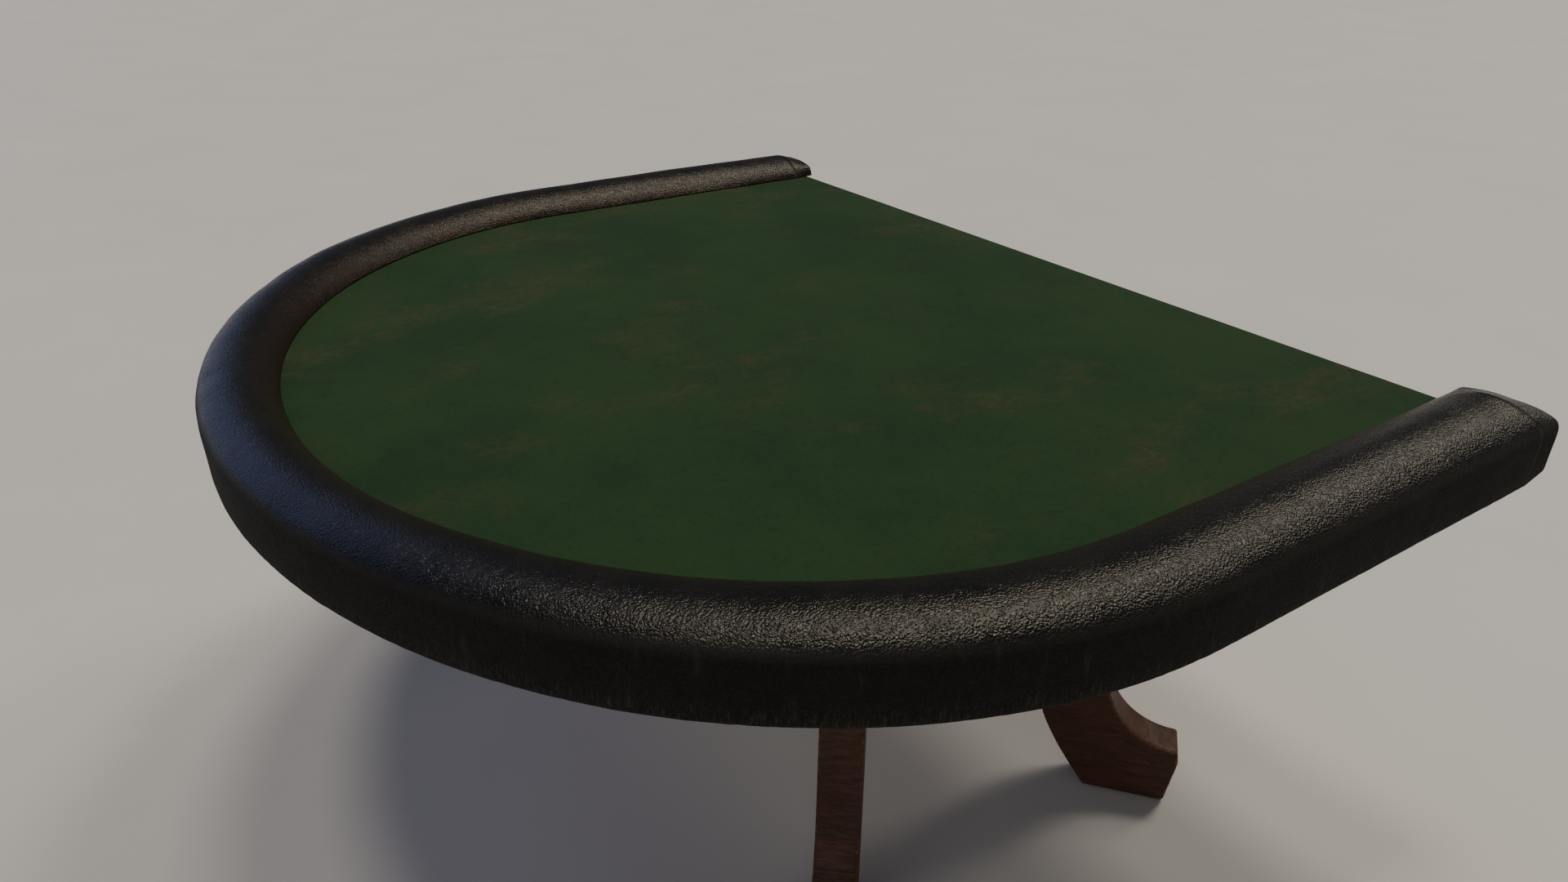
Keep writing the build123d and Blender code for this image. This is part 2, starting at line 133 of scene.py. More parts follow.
# ---------------------------------------------------------------- material helpers
class Shader:
    """A node material being built: its tree, its Principled shader and short ways to add nodes."""

    def __init__(self, name):
        self.material = bpy.data.materials.new(name)
        self.material.use_nodes = True
        self.tree = self.material.node_tree
        self.bsdf = next(n for n in self.tree.nodes if n.type == "BSDF_PRINCIPLED")

    def add(self, kind, inputs=None, output=0, **settings):
        """One node, its settings and inputs set or linked; gives its output socket."""
        node = self.tree.nodes.new(kind)
        for key, value in settings.items():
            setattr(node, key, value)
        for key, value in (inputs or {}).items():
            self.put(node.inputs[key], value)
        return node.outputs[output]

    def put(self, socket, value):
        if isinstance(value, bpy.types.NodeSocket):
            self.tree.links.new(value, socket)
        else:
            socket.default_value = value

    def surface(self, **values):
        for key, value in values.items():
            self.put(self.bsdf.inputs[key.replace("_", " ")], value)

    def place(self):
        return self.add("ShaderNodeTexCoord", output=3)

    def attribute(self, name):
        return self.add("ShaderNodeAttribute", attribute_name=name, output=1)

    def stretch(self, vector, scale):
        return self.add("ShaderNodeMapping", {"Vector": vector, "Scale": scale})

    def noise(self, vector, scale, detail=3.0, roughness=0.5, distortion=0.0):
        return self.add("ShaderNodeTexNoise", {
            "Vector": vector, "Scale": scale, "Detail": detail,
            "Roughness": roughness, "Distortion": distortion})

    def cells(self, vector, scale, feature="F1"):
        return self.add("ShaderNodeTexVoronoi", {"Vector": vector, "Scale": scale}, feature=feature)

    def domes(self, vector, scale, smoothness=0.3):
        """Distance from the middle of each rounded cell, for raised pebbles with narrow valleys."""
        return self.add("ShaderNodeTexVoronoi", {
            "Vector": vector, "Scale": scale, "Smoothness": smoothness}, feature="SMOOTH_F1")

    def maths(self, operation, a, b=0.5):
        return self.add("ShaderNodeMath", {0: a, 1: b}, operation=operation)

    def span(self, value, low, high, to_low=0.0, to_high=1.0):
        """A value from low to high carried smoothly to another range, held at its ends."""
        return self.add("ShaderNodeMapRange", {
            "Value": value, "From Min": low, "From Max": high, "To Min": to_low, "To Max": to_high,
        }, interpolation_type="SMOOTHSTEP")

    def mix(self, factor, a, b):
        node = self.tree.nodes.new("ShaderNodeMix")
        node.data_type = "RGBA"
        for index, value in ((0, factor), (6, a), (7, b)):
            self.put(node.inputs[index], value)
        return node.outputs[2]

    def part(self, vector, axis):
        return self.add("ShaderNodeSeparateXYZ", {"Vector": vector}, output="XYZ".index(axis))

    def bump(self, height, distance, strength=1.0, under=None):
        inputs = {"Height": height, "Distance": distance, "Strength": strength}
        if under is not None:
            inputs["Normal"] = under
        return self.add("ShaderNodeBump", inputs)


def rgb(red, green, blue):
    return (red, green, blue, 1.0)


# ---------------------------------------------------------------- materials
def felt_material():
    """Green billiard-weight cloth: a fine felted nap, with wide thin patches rubbed down to tan."""
    s = Shader("felt_green")
    at = s.place()
    streaky = s.stretch(at, (1.7, 1.0, 1.0))
    patches = s.noise(streaky, 3.1, 8, 0.66, 0.25)
    crumbs = s.noise(streaky, 46.0, 6, 0.8, 0.3)
    shade = s.noise(at, 4.3, 5, 0.62)
    nap = s.noise(at, 850.0, 2, 0.6)
    fibre_x = s.noise(s.stretch(at, (320.0, 1500.0, 800.0)), 1.0, 3, 0.7, 0.8)
    fibre_y = s.noise(s.stretch(at, (1300.0, 380.0, 800.0)), 1.0, 3, 0.7, 0.8)
    fibres = s.maths("MAXIMUM", fibre_x, fibre_y)
    mottle = s.noise(at, 120.0, 4, 0.65)
    tone = s.mix(s.span(shade, 0.34, 0.66), rgb(0.0074, 0.0235, 0.0108), rgb(0.0128, 0.0340, 0.0122))
    tone = s.mix(s.span(fibres, 0.35, 0.75, 0.0, 0.6), tone, rgb(0.021, 0.046, 0.022))
    tone = s.mix(s.span(mottle, 0.5, 0.75, 0.0, 0.5), tone, rgb(0.0075, 0.0205, 0.0105))
    worn = s.maths("MULTIPLY", s.span(patches, 0.50, 0.66), s.span(crumbs, 0.42, 0.60, 0.15, 1.0))
    tone = s.mix(s.maths("MULTIPLY", worn, 0.6), tone, rgb(0.050, 0.040, 0.022))
    tone = s.mix(s.span(nap, 0.25, 0.5, 0.4, 0.0), tone, rgb(0.006, 0.014, 0.008))
    height = s.maths("ADD", s.maths("MULTIPLY", fibres, 0.7), s.maths("MULTIPLY", nap, 0.5))
    soft = s.bump(s.noise(at, 95.0, 5, 0.7), 0.0022, 0.5)
    s.surface(Base_Color=tone, Roughness=s.span(fibres, 0.2, 0.8, 0.98, 0.85),
              Normal=s.bump(height, 0.0007, 0.6, soft),
              Sheen_Weight=0.06, Sheen_Roughness=0.5, Sheen_Tint=rgb(0.45, 0.62, 0.46),
              Specular_IOR_Level=0.08)
    return s.material


def leather_material():
    """Black pebbled leather: a raised grain that catches the light, worn brown where it meets the felt,
    and dusty and streaked low on the skirt. The piece's lay vector holds the metres along the armrest
    and round its section, and the share of the way round."""
    s = Shader("leather_black")
    at = s.place()
    lay = s.attribute("lay")
    share = s.part(lay, "Z")
    warp = s.add("ShaderNodeTexNoise", {"Vector": at, "Scale": 70.0, "Detail": 3.0}, output=1)
    warp_reach = (0.009, 0.009, 0.009)
    bent = s.add("ShaderNodeVectorMath", {0: warp, 1: warp_reach, 2: at}, operation="MULTIPLY_ADD")
    pebble = s.domes(bent, 400.0)
    fine = s.domes(bent, 900.0)
    pores = s.noise(at, 1500.0, 2, 0.6)
    big = s.noise(at, 14.0, 5, 0.65)
    lumps = s.noise(at, 95.0, 3, 0.6)
    cracks = s.cells(s.stretch(bent, (24.0, 24.0, 24.0)), 1.0, "DISTANCE_TO_EDGE")
    crack_line = s.maths("MULTIPLY", s.span(cracks, 0.0, 0.03, 1.0, 0.0), s.span(big, 0.56, 0.68))
    streaks = s.noise(s.stretch(lay, (420.0, 60.0, 1.0)), 1.0, 5, 0.75, 0.4)
    speckle = s.noise(at, 380.0, 4, 0.75)
    runs = s.noise(s.stretch(lay, (70.0, 7.0, 1.0)), 1.0, 4, 0.65, 0.4)
    height = s.maths("ADD", s.maths("MULTIPLY", fine, -0.12), s.maths("MULTIPLY", pebble, -1.0))
    height = s.maths("SUBTRACT", height, s.maths("MULTIPLY", crack_line, 0.6))
    height = s.maths("ADD", height, s.maths("MULTIPLY", pores, 0.03))
    height = s.maths("ADD", height, s.maths("MULTIPLY", lumps, 0.3))
    skirt = s.span(share, 0.56, 0.66)
    lower = s.span(share, 0.80, 0.90)
    inner = s.span(share, 0.04, 0.30, 1.0, 0.0)
    dust = s.maths("MULTIPLY", lower, s.span(streaks, 0.47, 0.74))
    dust = s.maths("ADD", dust, s.maths("MULTIPLY", skirt, s.span(speckle, 0.50, 0.72, 0.0, 0.22)))
    dust = s.maths("ADD", dust, s.maths("MULTIPLY", skirt, s.span(runs, 0.56, 0.76, 0.0, 0.35)))
    tone = s.mix(s.span(big, 0.35, 0.7), rgb(0.0042, 0.0042, 0.0046), rgb(0.0072, 0.0068, 0.0064))
    tone = s.mix(s.maths("MULTIPLY", inner, 0.8), tone, rgb(0.0170, 0.0100, 0.0068))
    tone = s.mix(skirt, tone, rgb(0.0055, 0.0055, 0.0051))
    tone = s.mix(s.maths("MULTIPLY", dust, 0.6), tone, rgb(0.070, 0.068, 0.060))
    scuff = s.maths("MULTIPLY", s.span(s.noise(at, 30.0, 8, 0.8, 0.6), 0.60, 0.69),
                    s.span(pebble, 0.2, 0.55, 1.0, 0.0))
    tone = s.mix(s.maths("MULTIPLY", scuff, 0.3), tone, rgb(0.055, 0.050, 0.043))
    rough = s.span(big, 0.3, 0.7, 0.16, 0.22)
    rough = s.maths("ADD", rough, s.maths("MULTIPLY", skirt, 0.6))
    rough = s.maths("ADD", rough, s.maths("MULTIPLY", inner, 0.03))
    rough = s.maths("ADD", rough, s.span(pebble, 0.2, 0.7, 0.0, 0.14))
    s.surface(Base_Color=tone, Roughness=rough, Normal=s.bump(height, 0.00068, 0.9),
              Specular_IOR_Level=0.22)
    return s.material


def wood_material(name, dark, light, along):
    """Oiled hardwood, planed, whose grain runs along X, Y or Z."""
    s = Shader(name)
    at = s.place()

    def stretched(along_scale, across_scale):
        return tuple(along_scale if axis == along else across_scale for axis in "XYZ")

    rings = s.noise(s.stretch(at, stretched(1.6, 28.0)), 1.0, 3, 0.55, 1.1)
    lines = s.noise(s.stretch(at, stretched(14.0, 420.0)), 1.0, 4, 0.65, 0.4)
    pores = s.noise(s.stretch(at, stretched(70.0, 1500.0)), 1.0, 2, 0.6)
    blotch = s.noise(at, 9.0, 5, 0.6)
    tone = s.mix(s.span(rings, 0.35, 0.65), dark, light)
    tone = s.mix(s.span(lines, 0.4, 0.7, 0.0, 0.55), tone, dark)
    tone = s.mix(s.span(blotch, 0.45, 0.7, 0.0, 0.35), tone, dark)
    tone = s.mix(s.span(pores, 0.3, 0.42, 0.65, 0.0), tone, tuple(0.35 * c for c in dark[:3]) + (1.0,))
    height = s.maths("SUBTRACT", s.maths("MULTIPLY", lines, 0.4), s.span(pores, 0.3, 0.42, 0.6, 0.0))
    s.surface(Base_Color=tone, Roughness=s.span(lines, 0.3, 0.7, 0.5, 0.64),
              Normal=s.bump(height, 0.0005, 0.5))
    return s.material


def leg_material():
    """Stained mahogany, satin varnished: fine wavy layers that run level along the foot, thin dark
    pores, faint upright scratches, and edges rubbed through to bare wood."""
    s = Shader("leg_mahogany")
    at = s.attribute("grain")
    wave = s.noise(s.stretch(at, (11.0, 11.0, 17.0)), 1.0, 3, 0.6)
    lifted = s.add("ShaderNodeCombineXYZ", {"Z": s.maths("MULTIPLY", wave, 0.028)})
    wavy = s.add("ShaderNodeVectorMath", {0: at, 1: lifted}, operation="ADD")
    bands = s.noise(s.stretch(wavy, (7.0, 7.0, 105.0)), 1.0, 4, 0.62)
    lines = s.noise(s.stretch(wavy, (34.0, 34.0, 520.0)), 1.0, 4, 0.7)
    pores = s.noise(s.stretch(wavy, (150.0, 150.0, 1500.0)), 1.0, 3, 0.65)
    scratches = s.noise(s.stretch(at, (900.0, 900.0, 46.0)), 1.0, 3, 0.6)
    blotch = s.noise(at, 15.0, 5, 0.65)
    red, brown, black = rgb(0.092, 0.033, 0.016), rgb(0.048, 0.0195, 0.0112), rgb(0.0130, 0.0078, 0.0068)
    tone = s.mix(s.span(bands, 0.34, 0.66), brown, red)
    tone = s.mix(s.span(blotch, 0.42, 0.66, 0.0, 0.65), tone, brown)
    tone = s.mix(s.span(lines, 0.45, 0.70, 0.0, 0.6), tone, black)
    tone = s.mix(s.span(pores, 0.30, 0.44, 0.6, 0.0), tone, black)
    tone = s.mix(s.span(scratches, 0.58, 0.74, 0.0, 0.5), tone, black)
    rub = s.part(s.attribute("wear"), "X")
    chips = s.noise(at, 210.0, 5, 0.75)
    amount = s.maths("ADD", rub, s.maths("MULTIPLY", s.maths("SUBTRACT", chips, 0.5), 2.2))
    tone = s.mix(s.span(amount, 0.70, 1.05, 0.0, 0.8), tone, rgb(0.15, 0.055, 0.024))
    tone = s.mix(s.span(amount, 1.15, 1.35, 0.0, 0.8), tone, rgb(0.36, 0.24, 0.16))
    rough = s.span(lines, 0.3, 0.7, 0.50, 0.68)
    height = s.maths("SUBTRACT", s.maths("MULTIPLY", bands, 0.5), s.span(lines, 0.47, 0.66, 0.0, 0.5))
    height = s.maths("SUBTRACT", height, s.span(pores, 0.30, 0.44, 0.4, 0.0))
    height = s.maths("SUBTRACT", height, s.span(amount, 0.62, 1.1, 0.0, 0.8))
    s.surface(Base_Color=tone, Roughness=rough, Normal=s.bump(height, 0.0009, 0.6),
              Specular_IOR_Level=0.3, Coat_Weight=0.06, Coat_Roughness=0.3)
    return s.material


PLY_PITCH = 0.005                           # a light and a dark ply


def plywood_material():
    """Birch plywood: veneer grain along X on its faces, thin plies on its edges."""
    s = Shader("plywood_birch")
    at = s.place()
    plies = s.maths("FRACT", s.maths("MULTIPLY", s.part(at, "Z"), 1 / PLY_PITCH))
    plies = s.maths("MULTIPLY", s.span(plies, 0.42, 0.5), s.span(plies, 0.92, 1.0, 1.0, 0.0))
    facing = s.maths("ABSOLUTE", s.part(s.add("ShaderNodeNewGeometry", output=1), "Z"))
    edge = s.maths("MULTIPLY", plies, s.span(facing, 0.3, 0.6, 1.0, 0.0))
    grain = s.noise(s.stretch(at, (3.0, 70.0, 70.0)), 1.0, 5, 0.6, 1.4)
    flecks = s.noise(s.stretch(at, (60.0, 900.0, 900.0)), 1.0, 2, 0.6)
    tone = s.mix(s.span(grain, 0.35, 0.65), rgb(0.40, 0.26, 0.14), rgb(0.56, 0.39, 0.23))
    tone = s.mix(s.span(flecks, 0.3, 0.42, 0.5, 0.0), tone, rgb(0.24, 0.14, 0.07))
    tone = s.mix(s.maths("MULTIPLY", edge, 0.8), tone, rgb(0.17, 0.09, 0.045))
    s.surface(Base_Color=tone, Roughness=s.span(grain, 0.3, 0.7, 0.6, 0.75),
              Normal=s.bump(s.maths("ADD", grain, s.maths("MULTIPLY", flecks, 0.5)), 0.0004, 0.5))
    return s.material


def metal_material(name, colour, tarnish, roughness):
    """Plated steel: fine turning marks, dull spots and a little tarnish."""
    s = Shader(name)
    at = s.place()
    marks = s.noise(s.stretch(at, (900.0, 900.0, 4200.0)), 1.0, 2, 0.6)
    spots = s.noise(at, 160.0, 6, 0.7)
    tone = s.mix(s.span(spots, 0.5, 0.7, 0.0, 0.7), colour, tarnish)
    s.surface(Base_Color=tone, Metallic=1.0,
              Roughness=s.span(marks, 0.3, 0.7, roughness, roughness + 0.18),
              Normal=s.bump(marks, 0.0002, 0.3))
    return s.material


def nylon_material():
    """Moulded black nylon, lightly scratched."""
    s = Shader("nylon_black")
    at = s.place()
    grain = s.noise(at, 2200.0, 2, 0.6)
    scratches = s.noise(s.stretch(at, (90.0, 1400.0, 600.0)), 1.0, 3, 0.6, 0.6)
    tone = s.mix(s.span(scratches, 0.55, 0.75, 0.0, 0.6), rgb(0.014, 0.014, 0.015), rgb(0.05, 0.05, 0.052))
    s.surface(Base_Color=tone, Roughness=s.span(grain, 0.3, 0.7, 0.45, 0.65),
              Normal=s.bump(grain, 0.0002, 0.4))
    return s.material


def foam_material(name, light, dark):
    """Fine-celled foam with a faint stain."""
    s = Shader(name)
    at = s.place()
    cells = s.cells(at, 900.0)
    stain = s.noise(at, 12.0, 4, 0.6)
    tone = s.mix(s.span(stain, 0.35, 0.7), light, dark)
    tone = s.mix(s.span(cells, 0.0, 0.35, 0.6, 0.0), tone, dark)
    s.surface(Base_Color=tone, Roughness=0.95, Normal=s.bump(cells, 0.0005, 0.7))
    return s.material


def floor_material():
    """A plain pale floor, very slightly clouded."""
    s = Shader("floor_pale")
    at = s.place()
    cloud = s.noise(at, 1.3, 4, 0.6)
    tone = s.mix(s.span(cloud, 0.3, 0.7), rgb(0.43, 0.44, 0.455), rgb(0.45, 0.46, 0.475))
    s.surface(Base_Color=tone, Roughness=0.75)
    return s.material


# ---------------------------------------------------------------- armrest
# Each point of a section is a share of the armrest's width and a height above the felt in metres,
# from the roll that meets the felt, over the crest and down to the skirt's turned-under edge.
DROP = FELT_TOP - cover_low.z
SECTION = [
    (COVER_INNER, 0.0), (0.09, 0.0135), (0.19, 0.026), (0.34, 0.036), (0.51, 0.0404), (0.68, 0.0384),
    (0.82, 0.0322), (0.93, 0.0238), (0.985, 0.0145), (1.0, 0.003), (1.0, -0.018), (1.0, -0.040),
    (0.999, -0.0545), (0.985, -0.0618), (0.94, -0.0652), (SKIRT_INNER, -DROP + 0.0002),
]
END_SECTION = [
    (0.06, 0.0), (0.09, 0.0135), (0.15, 0.0215), (0.33, 0.0262), (0.51, 0.0274), (0.7, 0.0268),
    (0.85, 0.0240), (0.94, 0.0198), (0.978, 0.0130), (0.99, 0.003), (0.99, -0.016), (0.99, -0.034),
    (0.988, -0.0470), (0.975, -0.0535), (0.93, -0.0558), (SKIRT_INNER, -0.056),
]
PER_SPAN = 6                                # steps from each point of a section to the next
COVER_STEP = 0.0085                         # spacing of the cover's rows along the armrest
LEATHER_THICKNESS = 0.0022
# Each row of relief is a noise scale, a seed and a height.
HOLLOWS = ((5.5, 3.1, 0.0016), (19.0, 7.7, 0.0007), (55.0, 4.4, 0.00022))
DENT_DEPTH, PLEAT_DEPTH, ROLL_WAVE = 0.0016, 0.0006, 0.0005
SWELL_FRAMES = (1, 20)
SWELL_PRESSURE, SWELL_MOST = 9.0, 0.004     # the foam's push, and the farthest a point may move
SWELL_ALLOWANCE = 0.0005                    # the cover starts this much smaller, as it swells


def rail_points(section, angle, y=None):
    """Points of a section at one station: an angle round the front, or a y on a straight arm."""
    across, above = section[:, 0], section[:, 1]
    x = (FELT_HALF_WIDTH + across * SIDE_WIDTH) * math.cos(angle)
    front_y = ARC_Y - (FELT_FRONT_DEPTH + across * FRONT_WIDTH) * math.sin(angle)
    ys = front_y if y is None else np.full_like(across, y)
    return np.stack([x, ys, FELT_TOP + above], axis=1)


def rail_stations(step):
    """Angle and y of every station, from the right arm's end, round the front, to the left arm's."""
    arm = [(0.0, y) for y in np.linspace(ARM_END_Y, ARC_Y, round((ARM_END_Y - ARC_Y) / step))]
    half_way = math.pi * (FELT_HALF_WIDTH + FELT_FRONT_DEPTH) / 2
    front = [(a, None) for a in np.linspace(0, math.pi, round(half_way * 1.15 / step))[1:-1]]
    return arm + front + [(math.pi, y) for _, y in reversed(arm)]


def girth_of(section):
    """Metres along a section from its first point, at the width of the sides."""
    flat = section * np.array([SIDE_WIDTH, 1.0])
    return np.concatenate([[0], np.cumsum(np.linalg.norm(np.diff(flat, axis=0), axis=1))])


def bell(value, middle, width):
    return np.exp(-((value - middle) / width) ** 2)


def lay_vectors(points, rows, section):
    """Metres along the armrest and round its section, and the share of the way round, at each point."""
    columns = len(section)
    girth = np.tile(girth_of(section), rows)
    crest = points.reshape(rows, columns, 3)[:, columns // 3]
    run = np.concatenate([[0], np.cumsum(np.linalg.norm(np.diff(crest, axis=0), axis=1))])
    return np.stack([np.repeat(run, columns), girth, girth / girth.max()], axis=1)


def swell(piece, held, pressure, most):
    """The leather pushed out by its foam: a cloth simulation with gravity off, pinned by the held
    weights. No point moves farther than most, and the result is written into the mesh."""
    group = piece.vertex_groups.new(name="held")
    for weight in np.unique(held):
        group.add([int(i) for i in np.flatnonzero(held == weight)], float(weight), "REPLACE")
    cloth = piece.modifiers.new("swell", "CLOTH")
    cloth.settings.quality, cloth.settings.mass = 4, 0.3
    cloth.settings.tension_stiffness = cloth.settings.compression_stiffness = 8
    cloth.settings.shear_stiffness, cloth.settings.bending_stiffness = 4, 0.4
    cloth.settings.vertex_group_mass = "held"
    cloth.settings.use_pressure, cloth.settings.uniform_pressure_force = True, pressure
    cloth.settings.effector_weights.gravity = 0
    cloth.collision_settings.use_collision = False
    scene = bpy.context.scene
    for number in range(SWELL_FRAMES[0], SWELL_FRAMES[1] + 1):
        scene.frame_set(number)
    evaluated = piece.evaluated_get(bpy.context.evaluated_depsgraph_get())
    start, end = mesh_points(piece.data), mesh_points(evaluated.data)
    move = end - start
    length = np.linalg.norm(move, axis=1, keepdims=True)
    move *= np.minimum(1, most / np.maximum(length, 1e-9))
    piece.modifiers.remove(cloth)
    piece.vertex_groups.remove(group)
    scene.frame_set(SWELL_FRAMES[0])
    piece.data.vertices.foreach_set("co", (start + move).astype(np.float32).ravel())
    piece.data.update()


def armrest_cover(material):
    section = smooth_path(SECTION, PER_SPAN)
    stations = rail_stations(COVER_STEP)
    rows = len(stations)
    points = np.vstack([rail_points(section, a, y) for a, y in stations])
    lay = lay_vectors(points, rows, section)
    run, girth, share = lay.T
    normals = grid_normals(points, rows, len(section))
    if normals[len(section) // 3][2] < 0:
        normals = -normals
    pleat_at = np.stack([run * 62.0, girth * 9.0, np.zeros_like(run)], axis=1)
    fine_at = np.stack([run * 150.0, girth * 14.0, np.zeros_like(run)], axis=1)
    pleats = np.abs(noise_at(pleat_at, 1.0, 1.3)) - 0.25 + 0.4 * noise_at(fine_at, 1.0, 5.9)
    hollows = sum(noise_at(points, scale, seed) * height for scale, seed, height in HOLLOWS)
    dents = -DENT_DEPTH * np.clip(noise_at(points, 11.0, 9.1) - 0.42, 0, 1)
    lift = (hollows + dents) * (0.3 + bell(share, 0.36, 0.26))
    roll_wave = ROLL_WAVE * noise_at(pleat_at, 0.8, 2.2) * bell(share, 0, 0.06)
    lift += -PLEAT_DEPTH * pleats * bell(share, 0.93, 0.10) + roll_wave
    from_end = np.minimum(run, run.max() - run)
    lift *= np.clip(girth / 0.004, 0, 1) * np.clip(from_end / 0.03, 0, 1)
    faces = [f[::-1] for f in grid_faces(rows, len(section))]
    swollen = bell(share, 0.33, 0.2)
    lift -= SWELL_ALLOWANCE * swollen
    points = points + normals * lift[:, None]
    piece = mesh_piece("armrest_cover", points, faces, material, {"lay": lay})
    held = np.clip((share - 0.52) / 0.08, 0, 1) + np.clip(1 - girth / 0.006, 0, 1)
    held += np.clip(1 - from_end / 0.02, 0, 1)
    swell(piece, np.round(np.clip(held, 0, 1), 1), SWELL_PRESSURE, SWELL_MOST)
    skin = piece.modifiers.new("skin", "SOLIDIFY")
    skin.thickness, skin.offset = LEATHER_THICKNESS, -1
    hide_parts("rail_cover", "rail_foam")
    return piece


def closed_outline(section):
    """A section closed along the skirt's inner side and back over the felt."""
    inner_side = [(SKIRT_INNER, section[-1][1] * t) for t in (0.66, 0.33, 0.01)]
    underside = [(x, 0.0) for x in np.linspace(SKIRT_INNER - 0.02, section[0][0] + 0.02, 14)]
    return np.vstack([smooth_path(section, PER_SPAN), inner_side, underside])


RIM_ROUNDING, FACE_CROWN = 0.004, 0.0012    # of an end block's end face
SEAM_DEPTH, SEAM_WIDTH = 0.0004, 0.0016


def armrest_end(side, angle, material):
    """One padded end block: its bevel, a rounded rim and a slightly crowned end face."""
    start, end = closed_outline(SECTION), closed_outline(END_SECTION)
    length, rounding = RAIL_END_Y - ARM_END_Y, RIM_ROUNDING
    steps = np.concatenate([[0.0, 0.03, 0.06], np.linspace(0.12, 1 - rounding / length, 10)])
    rings = []
    for t in steps:
        tuck = SEAM_DEPTH * math.exp(-(t * length / SEAM_WIDTH) ** 2)
        ring = rail_points(start + (end - start) * t, angle, ARM_END_Y + t * length)
        rings.append(ring - outward(ring) * tuck)
    rim = rail_points(end, angle, RAIL_END_Y)
    away = outward(rim)
    for turn in (30, 60, 90):
        inset = rounding * (1 - math.cos(math.radians(turn)))
        back = rounding * (1 - math.sin(math.radians(turn)))
        ring = rim - away * inset
        ring[:, 1] = RAIL_END_Y - back
        rings.append(ring)
    face_edge = rings[-1]
    middle = rail_points(np.array([(0.90, 0.006)]), angle, RAIL_END_Y)[0]
    for share in (0.85, 0.6, 0.35, 0.12):
        ring = middle + (face_edge - middle) * share
        ring[:, 1] = RAIL_END_Y + FACE_CROWN * (1 - share)
        rings.append(ring)
    points = np.vstack(rings)
    free = np.clip((points[:, 1] - ARM_END_Y) / 0.012, 0, 1)
    points[:, 2] += noise_at(points, 30.0, 4.0) * 0.0007 * free * (points[:, 2] > FELT_TOP + 0.002)
    points[:, 0] += noise_at(points, 26.0, 8.0) * 0.0006 * free
    lay = lay_vectors(points, len(rings), start)
    lay[:, 2] *= girth_of(start).max() / girth_of(smooth_path(SECTION, PER_SPAN)).max()
    columns = len(start)
    faces = grid_faces(len(rings), columns, closed=True)
    faces.append(tuple(range(len(points) - columns, len(points))))
    if side == "left":
        faces = [f[::-1] for f in faces]
    piece = mesh_piece(f"armrest_end_{side}", points, faces, material, {"lay": lay})
    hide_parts(f"rail_end_block_{side}")
    return piece


def outward(ring):
    """Unit vectors square to a closed ring of points in one upright plane, pointing out of it."""
    along = np.roll(ring, -1, axis=0) - np.roll(ring, 1, axis=0)
    square = np.stack([along[:, 2], np.zeros(len(ring)), -along[:, 0]], axis=1)
    square /= np.maximum(np.linalg.norm(square, axis=1, keepdims=True), 1e-9)
    highest = ring[:, 2].argmax()
    return square if square[highest, 2] > 0 else -square


# ---------------------------------------------------------------- felt
CLOTH_REACH = 0.845                         # share of the armrest's width that the cloth runs under
CLOTH_THICKNESS, CLOTH_FOLD = 0.0018, 0.005 # the fold's radius is over the dealer's edge
CLOTH_COLUMNS = 200


def felt_rows(half, deep, fold_half):
    """The y, height and half width of each row of the cloth, from the players' side to its turned-under
    edge below the deck."""
    edge, bottom, radius = felt_high.y, felt_low.z, CLOTH_FOLD
    round_front = np.linspace(math.pi / 2 - 0.02, 0, 90)
    rows = [(ARC_Y - deep * math.sin(a), FELT_TOP, half * math.cos(a)) for a in round_front]
    rows += [(y, FELT_TOP, half) for y in np.linspace(ARC_Y, edge - radius, 60)[1:]]
    for t in (math.radians(turn) for turn in (22, 45, 68, 90)):
        height = FELT_TOP - radius + radius * math.cos(t)
        rows.append((edge - radius + radius * math.sin(t), height, fold_half))
    rows += [(edge, z, fold_half) for z in np.linspace(FELT_TOP - radius, bottom + radius / 2, 6)[1:]]
    rows += [(edge - 0.0015, bottom + 0.0008, fold_half)]
    rows += [(y, bottom, fold_half) for y in np.linspace(edge - 0.004, felt_low_return(), 7)]
    return rows


def felt_sheet(material):
    """The cloth: stretched flat, rounded over the dealer's edge and turned under the deck."""
    half = FELT_HALF_WIDTH + CLOTH_REACH * SIDE_WIDTH
    deep = FELT_FRONT_DEPTH + CLOTH_REACH * FRONT_WIDTH
    fold_half = felt_high.x - 0.01
    rows = felt_rows(half, deep, fold_half)
    across, ones = np.linspace(-1, 1, CLOTH_COLUMNS), np.ones(CLOTH_COLUMNS)
    points = np.vstack([np.stack([across * w, ones * y, ones * z], axis=1) for y, z, w in rows])
    on_top = points[:, 2] > FELT_TOP - 0.0005
    ripple = noise_at(points, 9.0, 2.0) * 0.00035 + noise_at(points, 60.0, 8.0) * 0.00012
    points[:, 2] += np.where(on_top, ripple - 0.0004, 0)
    faces = grid_faces(len(rows), CLOTH_COLUMNS)
    piece = mesh_piece("felt", points, faces, material)
    body = piece.modifiers.new("cloth_body", "SOLIDIFY")
    body.thickness, body.offset = CLOTH_THICKNESS, -1
    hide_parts("felt_cloth")
    return piece


def felt_low_return():
    """The y where the cloth's turned-under edge ends, beyond its row of staples."""
    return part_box("felt_staples")[0].y - 0.012


# ---------------------------------------------------------------- legs
LEG_ANGLE = math.radians(40)                # each leg's plan angle from the table's width
LEG_VOXEL = 0.003
SHARP_BULGE = 0.0010                        # how far a fully worn edge stands out from its surroundings


